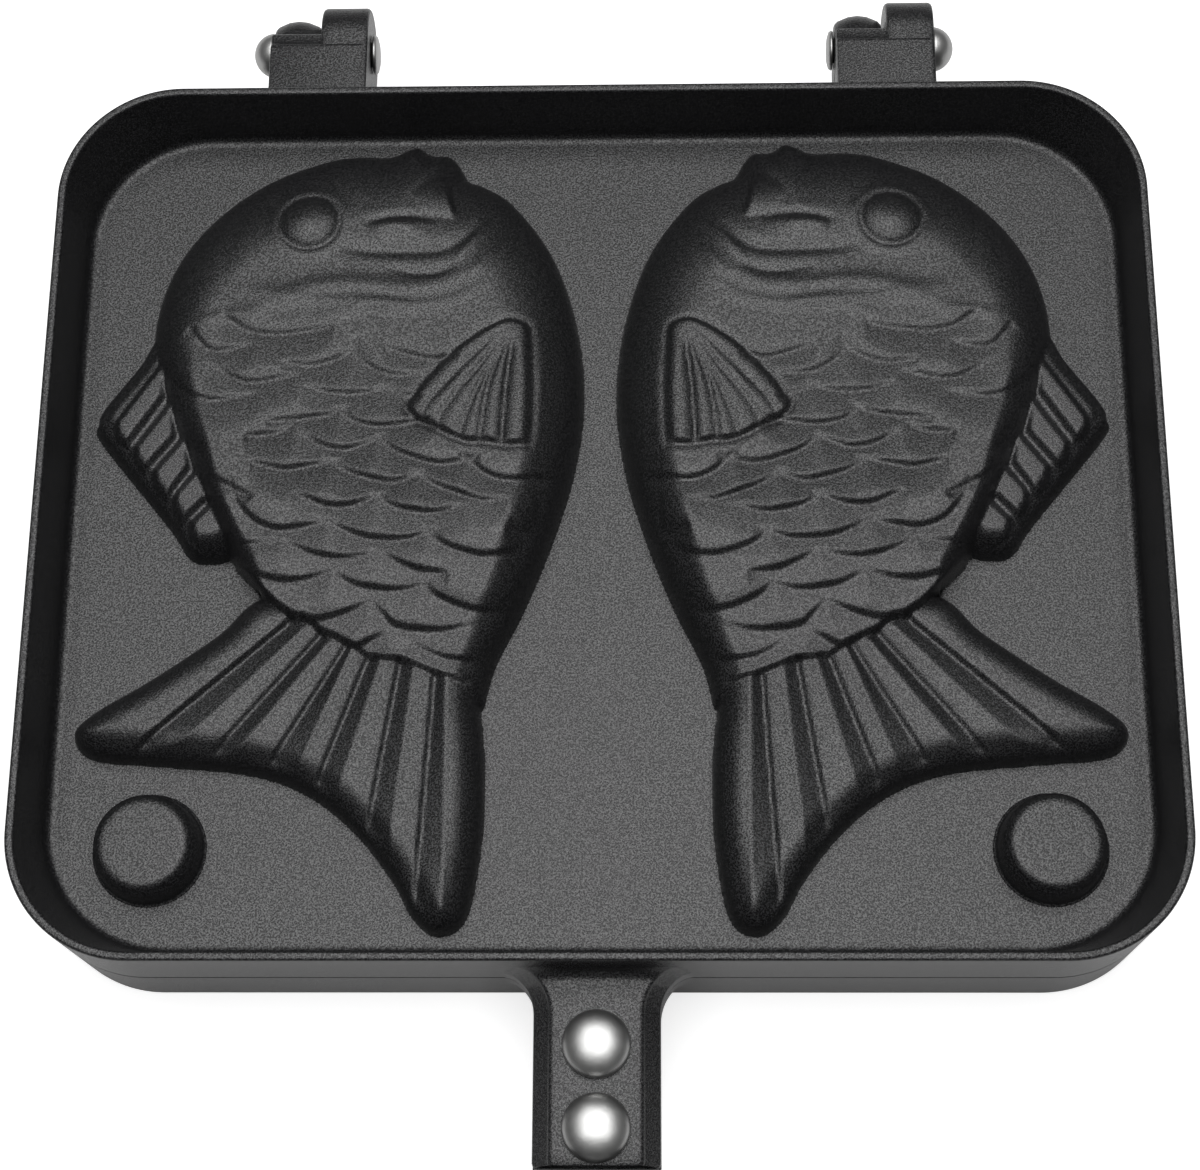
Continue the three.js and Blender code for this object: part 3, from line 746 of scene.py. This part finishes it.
def castingShell():
    flat, x, y, depth = shellGrid()
    ny, nx = x.shape
    inner = np.stack([x, y, depth - pan["land"]], -1)
    # The moulds' outside stays hidden in the fish and the bosses
    outer = np.stack([x, y, np.maximum(pan["plate"], depth + shell["skin"])], -1)
    border = borderOf(np.arange(nx * ny).reshape(ny, nx))
    centre, direction = rimPath(borderOf(flat[0]), borderOf(flat[1]))
    n, profile = len(border), shellProfile()
    rim, foot = shell["rim"], shell["rim"] + shell["draft"]
    side = np.array([pan["width"], pan["length"]]) / 2 - pan["corner"]
    rows = []
    for inset, z in profile:
        grow = shell["cornerGrowth"] * np.clip((inset - rim) / (foot - rim), 0, 1)
        path = centre * (1 - grow / side) + direction * (pan["corner"] - inset + grow)
        rows.append(np.column_stack([path, np.full(n, z)]))
    points = np.vstack([inner.reshape(-1, 3), *rows, outer.reshape(-1, 3)])
    points += [0, pan["length"] / 2, 0]
    base = nx * ny
    last = base + (len(profile) - 1) * n
    k = np.arange(n)
    after = (k + 1) % n
    outerBorder = border + last + n
    faces = gridFaces(ny, nx)[:, ::-1].tolist()
    faces += np.stack([border, border[after], base + after, base + k], -1).tolist()
    faces += (gridFaces(len(profile), n, wrapColumns=True) + base).tolist()
    faces += np.stack([last + k, last + after, outerBorder[after], outerBorder], -1).tolist()
    faces += (gridFaces(ny, nx) + last + n).tolist()
    return points, faces


shellPoints, shellFaces = castingShell()
for half in halves:
    addCast(half, "casting", shellPoints, shellFaces)
print("stage: casting shells")


# Fish relief on the outside

patch = dict(
    x=(-98.4, -1), y=(4.5, 165),
    margin=1.2,  # cells kept past the outline
    slope=3.0,  # their fall into the plate
    sink=2,  # underside below the plate's face
    skin=0.9,  # and clear of the mould inside
)


def fishRelief(step):
    # The left fish: relief on top, an underside within the casting's wall
    x, y = np.meshgrid(np.arange(*patch["x"], step), np.arange(*patch["y"], step))
    shape = x.shape
    d, height = fishHeight(x.ravel(), y.ravel(), outside)
    height = np.where(d > 0, height, patch["slope"] * d)
    keep = (d > -patch["margin"] * step).reshape(shape)
    cells = keep[:-1, :-1] & keep[1:, :-1] & keep[1:, 1:] & keep[:-1, 1:]
    quads = gridFaces(*shape)[cells.ravel()]
    used, quads = np.unique(quads, return_inverse=True)
    quads = quads.reshape(-1, 4)
    x, y, height = x.ravel()[used], y.ravel()[used], height[used]
    under = np.maximum(pan["plate"] - patch["sink"], fishHeight(x, y, mould)[1] + patch["skin"])
    n = len(used)
    # edges that no second cell shares carry the side walls
    edges = np.vstack([quads[:, [0, 1]], quads[:, [1, 2]], quads[:, [2, 3]], quads[:, [3, 0]]])
    edges = edges.astype(np.int64)
    rim = edges[~np.isin(edges[:, 0] * n + edges[:, 1], edges[:, 1] * n + edges[:, 0])]
    walls = np.column_stack([rim[:, 1], rim[:, 0], rim[:, 0] + n, rim[:, 1] + n])
    points = np.vstack([np.column_stack([x, y, pan["plate"] + height]),
                        np.column_stack([x, y, under])])
    return points, np.vstack([quads, quads[:, ::-1] + n, walls])


for half in halves:
    points, faces = fishRelief(fish["grid"][half])
    addCast(half, "left_fish", points, faces.tolist())
    addCast(half, "right_fish", points * [-1, 1, 1], faces[:, ::-1].tolist())
print("stage: fish")


# Round bosses

boss = dict(
    foot=9.8, top=8.8, rise=7.0, edge=1.7,
    lean=0.2,  # share of the edge by which the side stands out below it
    fillet=0.6, bore=7.9, wall=1.9, sink=1.5, sides=96,
    flat=3,  # radius of a row on the flat top
)


def bossPiece(half, side, name):
    # A cup over the pocket in the casting
    b, p, e, f = boss, pan["plate"], boss["edge"], boss["fillet"]
    t, foot, top = p + b["rise"], b["foot"] + f, b["top"]
    profile = [(0, t - b["wall"]), (b["bore"], t - b["wall"]), (b["bore"], p - b["sink"])]
    profile += [(foot, p - b["sink"]), (foot, p)]
    profile += [(foot - f * math.sin(a), p + f - f * math.cos(a)) for a in (0.5, 1.0, 1.5)]
    profile += [(top + e * b["lean"], t - e)]
    profile += [(top - e + e * math.cos(a), t - e + e * math.sin(a))
                for a in (0.15, 0.5, 0.85, 1.2, 1.57)]
    profile += [(top - e - 1, t), (b["flat"], t), (0, t)]
    points, faces = turnedSurface(profile, b["sides"])
    addCast(half, name, points + [side * pocket["x"], pocket["y"], 0], faces)


for half in halves:
    bossPiece(half, -1, "left_boss")
    bossPiece(half, 1, "right_boss")


# Handle shank

shank = dict(
    length=33.7,
    endRows=(0, 0.25, 0.8),  # way in from the free end, with the next tuple's shrink
    endShrink=(0.6, 0.2, 0.0),
    halfTop=8.5, halfFoot=11.05, top=8.7, under=4.3,
    flare=6.4, flareLength=7.6, flareEnd=0.98,
    fillet=2.4, corner=1.1, blockEnd=7.2, root=1.2,
    bandTop=0.9,  # the shank is widest in a low band above its underside
    bandFoot=0.1,
    bandOut=(0.15, 0.1),
)


def shankPiece(half):
    s = shank
    block = -s["blockEnd"]
    y = np.concatenate([np.array(s["endRows"]) - s["length"], np.linspace(-31, -9, 12),
                        np.linspace(-8.5, block - 0.01, 3), np.linspace(block, 0, 16),
                        [s["root"]]])
    share = np.clip((y + s["flareLength"]) / s["flareLength"], 0, 1)
    spread = s["flare"] * (1 - np.sqrt(1 - share**2 * s["flareEnd"]))
    share = np.clip((y + s["fillet"]) / s["fillet"], 0, 1)
    top = s["top"] + s["fillet"] * (1 - np.sqrt(1 - share**2))
    under = np.where(y < block, s["under"], 0.0)
    shrink = np.zeros(len(y))
    shrink[:len(s["endShrink"])] = s["endShrink"]
    a = np.linspace(0, math.pi / 2, 5)
    c = s["corner"]
    rows = []
    for k in range(len(y)):
        halfFoot = s["halfFoot"] + spread[k] - shrink[k]
        halfTop = s["halfTop"] + spread[k] - shrink[k]
        t, u = top[k] - shrink[k], under[k] + shrink[k]
        right = np.vstack([
            [(0, t), (halfTop * 0.5, t)],
            np.column_stack([halfTop - c + c * np.sin(a), t - c + c * np.cos(a)]),
            [(halfFoot, s["under"] + s["bandTop"]),
             (halfFoot + s["bandOut"][0], s["under"] + s["bandFoot"]),
             (halfFoot + s["bandOut"][1], u), (halfFoot * 0.5, u)],
        ])
        loop = np.vstack([right, [(0, u)], (right * [-1, 1])[:0:-1]])
        rows.append(np.column_stack([loop[:, 0], np.full(len(loop), y[k]), loop[:, 1]]))
    addCast(half, "shank", rows, tubeFaces(len(y), len(rows[0])), sharpAngle)


for half in halves:
    shankPiece(half)
print("stage: bosses and shanks")


# Hinge lugs and knuckles

hinge = dict(
    middle=56.4, half=9.7, gap=0.6,
    upperRadius=8.9, lowerRadius=6.8, bore=2.62, clear=0.6, bevel=0.45,
    root=1.2,  # how far a lug reaches into the casting
    farInset=0.9,
    past=0.3,  # the upper lug ends this far past the pin's middle
    edge=0.3,
    brow=2.2,  # from the pin to the step down to the upper lug's ledge
    # the ledge from its end to the flat top: way from the end or the brow, and drop
    ledgeEnd=[(0, 1.25), (-0.3, 1.0)],
    ledgeBrow=[(0.5, 0.95), (0, 0.75), (-0.5, 0.15), (-0.8, 0), (-1.1, 0)],
    cutSteps=14,
)


def atX(x, loop):
    return np.column_stack([np.full(len(loop), x), loop])


def prismAlongX(loop, rows):
    # A closed loop in y and z carried along x; each row is (x, shrink towards the middle)
    middle = (loop.max(0) + loop.min(0)) / 2
    size = (loop.max(0) - loop.min(0)) / 2
    return [atX(x, middle + (loop - middle) * (1 - shrink / size)) for x, shrink in rows]


def lugPiece(half, side, name):
    # From the casting to the knuckle, cut round for the other half's knuckle
    h = hinge
    own = h[half + "Radius"]
    other = h["lowerRadius" if half == "upper" else "upperRadius"] + h["clear"]
    start = pan["length"] - h["root"]
    if half == "upper":
        end = pan["pinY"] + h["past"]
        angle = math.degrees(math.acos(h["past"] / other))
        brow = pan["pinY"] - h["brow"]
        tail = [(end + way, own - drop) for way, drop in h["ledgeEnd"]]
        tail += [(brow + way, own - drop) for way, drop in h["ledgeBrow"]]
    else:
        angle = 180 - math.degrees(math.asin(own / other))
        end = pan["pinY"] + other * math.cos(math.radians(angle))
        tail = [(end, own - h["edge"]), (end - h["edge"], own)]
    cut = arc(pan["pinY"], -pan["gap"] / 2, other, 180, angle, h["cutSteps"])
    cut[0, 1] = 0
    loop = np.vstack([[(start, 0)], cut, tail, [(start, own)]])
    near, far = side * h["middle"] - h["half"], side * h["middle"] + h["half"] - h["farInset"]
    b = h["bevel"]
    rows = prismAlongX(loop, [(near, b), (near + b * 0.3, b * 0.3), (near + b, 0), (far, 0)])
    addCast(half, name + "_lug", rows, tubeFaces(len(rows), len(loop)), sharpAngle)


knuckle = dict(
    turn=(180, 450),  # degrees round the pin, from the front
    steps=48,
    square=2.3,  # the upper one's rear top: |y|^2.3 + |z|^2.3 = r^2.3
    squareFrom=360,
    top=0.05,
    foot=0.25,
    front=(1.6, 0.8, 3),
    rim=[(0, 0.5), (0.2, 0.2), (0.7, 0)],  # way in from each face, draw-in
    blockShare=[0.9, 0.3, 0.2, 0.2, 0.2, 0.6],  # of the draw-in, at the block's corners
    crown=dict(upper=0.0, lower=1.5),
    crownFrom=272,
)


def knucklePiece(half, side, name):
    # Outline round the pin, open at the bore; the lower one's far side is crowned
    k, own = knuckle, hinge[half + "Radius"]
    pinZ, start = -pan["gap"] / 2, pan["length"] - hinge["root"]
    middle = np.array([pan["pinY"], pinZ])
    turn = np.linspace(*k["turn"], k["steps"])
    ring = arc(*middle, own, *k["turn"], k["steps"])
    if half == "upper":
        way = ring - middle
        stretch = own / (np.abs(way) ** k["square"]).sum(1) ** (1 / k["square"])
        square = middle + way * stretch[:, None]
        ring = np.where((turn > k["squareFrom"])[:, None], square, ring)
    top, foot, (back, front, step) = own + pinZ - k["top"], k["foot"], k["front"]
    block = [(pan["pinY"] - back, top), (start, top), (start, own / 2), (start, foot),
             (start + step, foot), (pan["pinY"] - own - front, foot)]
    way = np.vstack([ring, block]) - middle
    bore = middle + way / np.hypot(*way.T)[:, None] * hinge["bore"]
    split = side * hinge["middle"] + hinge["gap"] / 2
    end = side * hinge["middle"] + hinge["half"]
    xs = [split + d for d, _ in k["rim"]]
    xs += [split * (1 - t) + end * t for t in (0.3, 0.5, 0.7)]
    xs = np.array(xs + [end - d for d, _ in k["rim"][::-1]])
    draw = [e for _, e in k["rim"]]
    draw = np.array([*draw, 0, 0, 0, *draw[::-1]])
    bow = k["crown"][half] * (np.abs(xs - (split + end) / 2) / ((end - split) / 2)) ** 2
    far = np.concatenate([turn > k["crownFrom"], np.zeros(len(block))])
    near = np.concatenate([np.ones(len(ring)), k["blockShare"]])
    rows = [atX(x, middle + way * (1 - e / own * near - c / own * far)[:, None])
            for x, e, c in zip(xs, draw, bow)]
    rows += [atX(x, bore) for x in xs[::-1]]
    faces = gridFaces(len(rows), len(bore), wrapRows=True, wrapColumns=True)
    addCast(half, name + "_knuckle", rows, faces.tolist(), sharpAngle)


for half in halves:
    for side, name in ((-1, "left"), (1, "right")):
        lugPiece(half, side, name)
        knucklePiece(half, side, name)
print("stage: hinge lugs")


# Rivets and pins

rivet = dict(
    head=6.0, rise=3.5, power=0.9, shaft=2.6, tail=4.2,
    tailZ=(0.05, 0.3, 1.9),
    seat=9.0,
    skirt=[(0.25, -0.25), (0, 0.05), (0.04, 0.45)],  # in from the head's edge, from the seat
    front=27.2, rear=13.0, sides=72,
)


def rivetPiece(half, place):
    r, seat, head = rivet, rivet["seat"], rivet["head"]
    low, mid, high = r["tailZ"]
    profile = [(0, low), (r["tail"] - 0.3, low), (r["tail"], mid), (r["shaft"], high)]
    profile += [(r["shaft"], seat + r["skirt"][0][1])]
    profile += [(head - way, seat + z) for way, z in r["skirt"]]
    a = np.linspace(0.25, math.pi / 2, 14)[:-1]
    dome = np.column_stack([head * np.cos(a), seat + r["rise"] * np.sin(a) ** r["power"]])
    profile += [*dome, (0, seat + r["rise"])]
    points, faces = turnedSurface(profile, r["sides"])
    addPiece(f"{half}_rivet_{place}_polished", points - [0, r[place], 0], faces, metalMaterial,
             half + "_half", [f"{half}_rivet_{place}"], half)


for half in halves:
    rivetPiece(half, "front")
    rivetPiece(half, "rear")


pin = dict(
    radius=2.5,
    past=0.3,  # head and tail start this far past the knuckles
    head=4.45, headRise=4.3, tail=4.0, tailRise=1.1, edge=0.2, sides=56,
)


def pinPiece(side, name):
    p, e, tail, head = pin, pin["edge"], pin["tail"], pin["head"]
    outer = hinge["middle"] + hinge["half"] + p["past"]
    inner = hinge["middle"] - hinge["half"] - p["past"]
    profile = [(0, inner - p["tailRise"]), (tail * 0.6, inner - p["tailRise"])]
    profile += [(tail * 0.9, inner - p["tailRise"] * 0.7), (tail, inner - 0.3)]
    profile += [(tail - e, inner), (p["radius"], inner), (p["radius"], outer)]
    profile += [(head - e, outer), (head, outer + 0.3)]
    a = np.linspace(0.15, math.pi / 2, 12)[:-1]
    profile += [*np.column_stack([head * np.cos(a), outer + p["headRise"] * np.sin(a)])]
    profile += [(0, outer + p["headRise"])]
    points, faces = turnedSurface(profile, p["sides"])
    turned = np.column_stack([points[:, 2], points[:, 1], -points[:, 0]])
    if side < 0:
        turned = turned * [-1, -1, 1]
    addPiece(name + "_polished", turned + [0, pan["pinY"], pan["parting"]], faces,
             metalMaterial, "lower_half", [name])


pinPiece(-1, "left_hinge_pin")
pinPiece(1, "right_hinge_pin")
print("stage: rivets and pins")


# Grips

grip = dict(
    start=34.0, end=184.0,
    under=1.2,  # the sides start this far under the shank's end
    tip=14.2, neck=11.4, neckEdge=1.2, belly=14.2,
    bellyPlace=0.62,  # share of the length
    height=13.8, edge=7.5,
    edgeShare=0.30,  # height of the rounded edge's foot
    hole=4.5, holeFromEnd=13.0,
    holeEdge=(0.8, 1.5),  # drop and width
    foot=0.25, landInset=0.6,
)
tongue = dict(start=7.5, overlap=8, thick=4.0, halfWide=11.05, edge=0.3)


def gripBody(half):
    g = grip
    y = np.linspace(-g["start"] - g["under"], -g["end"] + g["tip"], 60)
    share = (-y - g["start"]) / (g["end"] - g["start"])
    swell = np.sin(np.clip(share / g["bellyPlace"], 0, 1.5) * math.pi / 2)
    side = g["neck"] + (g["belly"] - g["neck"]) * swell
    a = np.radians(np.linspace(0, 180, 40))[1:-1]
    rightSide = np.column_stack([side, y])
    tip = np.column_stack([side[-1] * np.cos(a), y[-1] - g["tip"] * np.sin(a)])
    edge = g["neck"] - g["neckEdge"]
    front = np.column_stack([np.linspace(-edge, edge, 16), np.full(16, -g["start"])])
    ring = np.vstack([front, rightSide, tip, rightSide[::-1] * [-1, 1]])
    # rows of points from the hole out to the outline, closer near the outline
    centre = np.array([0, g["holeFromEnd"] - g["end"]])
    way = ring - centre
    hole = centre + way / np.hypot(*way.T)[:, None] * g["hole"]
    share = 1 - 0.2 * np.linspace(1, 0, 22)[1:] ** 1.6
    share = np.concatenate([np.linspace(0, 0.8, 18), share])
    plan = hole[None] + (ring - hole)[None] * share[:, None, None]
    x, y = plan[..., 0], plan[..., 1]
    d = inside(x.ravel(), y.ravel(), ring).reshape(x.shape)
    d[-1] = 0
    full = shoulder(np.maximum(d, 0), g["edge"], 2.0)
    drop, wide = g["holeEdge"]
    lip = np.hypot(x, y - centre[1]) - g["hole"]
    z = g["height"] * (g["edgeShare"] + (1 - g["edgeShare"]) * full)
    top = np.stack([x, y, z - drop * (1 - ease(lip, 0, wide))], -1)
    foot = np.stack([x[-1:], y[-1:], np.full((1, x.shape[1]), g["foot"])], -1)
    low = np.stack([x, y, -pan["land"] * (d > g["landInset"])], -1)
    rows = np.concatenate([top, foot, low[::-1]])
    faces = gridFaces(*rows.shape[:2], wrapRows=True, wrapColumns=True)
    addPiece(half + "_grip_body", rows, faces.tolist(), gripMaterial, half + "_half",
             [half + "_grip"], half)


def gripTongue(half):
    # The grip's flat tongue under the shank
    t, e, wide = tongue["thick"], tongue["edge"], tongue["halfWide"]
    loop = np.array([(-wide, e), (-wide + e, 0), (wide - e, 0), (wide, e), (wide, t - e),
                     (wide - e, t), (-wide + e, t), (-wide, t - e)])
    start = -tongue["start"]
    ends = [(start, e), (start - e, 0), (-grip["start"] - tongue["overlap"], 0)]
    n = len(loop)
    rows = [np.column_stack([loop[:, 0] * (1 - shrink / wide), np.full(n, y), loop[:, 1]])
            for y, shrink in ends]
    addPiece(half + "_grip_tongue", rows, tubeFaces(len(rows), n), gripMaterial,
             half + "_half", [half + "_grip"], half, sharpAngle)


for half in halves:
    gripBody(half)
    gripTongue(half)
print("stage: grips")


# Camera

view = dict(
    sensor=36, lens=72.808, near=0.01,
    pitch=0.3226, yaw=0.0845, roll=-0.0843,
    place=(12.208, -70.309, 414.845),  # mm from the front rim edge and the upper rim
)
camera = bpy.data.objects.new("camera", bpy.data.cameras.new("camera"))
camera.data.sensor_width = view["sensor"]
camera.data.sensor_fit = "HORIZONTAL"
camera.data.lens = view["lens"]
camera.data.clip_start = view["near"]
turn = (Matrix.Rotation(view["yaw"], 4, "Z") @ Matrix.Rotation(view["pitch"], 4, "X")
        @ Matrix.Rotation(view["roll"], 4, "Z"))
place = np.array(view["place"]) + [0, -pan["middleY"], 2 * pan["height"] + pan["gap"]]
camera.matrix_world = Matrix.Translation(place / metre) @ turn
scene.collection.objects.link(camera)
scene.camera = camera


# Floor, lights and world

studio = dict(
    floorHalf=6, floorColour="#e2e2e2", floorRoughness=0.8,
    floorGlow=(0.64, 1.0),  # seen by the camera only, near the pan and far from it
    glowBand=(0.4, 1.6),  # m from the pan
    boxSize=1.3, boxPower=20.5, boxPlace=(0.0, 0.22, 1.25), boxAim=(0, 0.08, 0),
    world=(0.09, 1.0),  # light on the pan, and brightness seen by the camera
)
white = (1, 1, 1, 1)


def floorPiece():
    # A pale table whose glow in the picture hides its far edge
    h = studio["floorHalf"]
    mesh = bpy.data.meshes.new("floor")
    mesh.from_pydata([(-h, -h, 0), (h, -h, 0), (h, h, 0), (-h, h, 0)], [], [(0, 1, 2, 3)])
    material, tree, shader, coords = newMaterial("white studio table", {
        "Base Color": linear(studio["floorColour"]), "Roughness": studio["floorRoughness"],
        "Emission Color": white})
    seen = addNode(tree, "ShaderNodeLightPath").outputs["Is Camera Ray"]
    away = addNode(tree, "ShaderNodeVectorMath", {"operation": "LENGTH"}, s0=coords)
    level = addRange(tree, away.outputs["Value"], *studio["floorGlow"], studio["glowBand"])
    glow = addNode(tree, "ShaderNodeMath", {"operation": "MULTIPLY"}, s0=seen, s1=level)
    tree.links.new(glow.outputs[0], shader.inputs["Emission Strength"])
    mesh.materials.append(material)
    floor = bpy.data.objects.new("floor", mesh)
    scene.collection.objects.link(floor)


def softbox():
    light = bpy.data.lights.new("overhead softbox", "AREA")
    light.shape = "SQUARE"
    light.size = studio["boxSize"]
    light.energy = studio["boxPower"]
    lamp = bpy.data.objects.new("overhead softbox", light)
    lamp.location = studio["boxPlace"]
    way = Vector(studio["boxPlace"]) - Vector(studio["boxAim"])
    lamp.rotation_euler = way.to_track_quat("Z", "Y").to_euler()
    scene.collection.objects.link(lamp)


def pictureWorld():
    world = bpy.data.worlds.new("studio")
    scene.world = world
    world.use_nodes = True
    tree = world.node_tree
    background = tree.nodes["Background"]
    seen = addNode(tree, "ShaderNodeLightPath").outputs["Is Camera Ray"]
    background.inputs["Color"].default_value = white
    tree.links.new(addRange(tree, seen, *studio["world"]), background.inputs["Strength"])


floorPiece()
softbox()
pictureWorld()

scene.view_settings.view_transform = "Standard"
print("stage: camera, floor and lights")
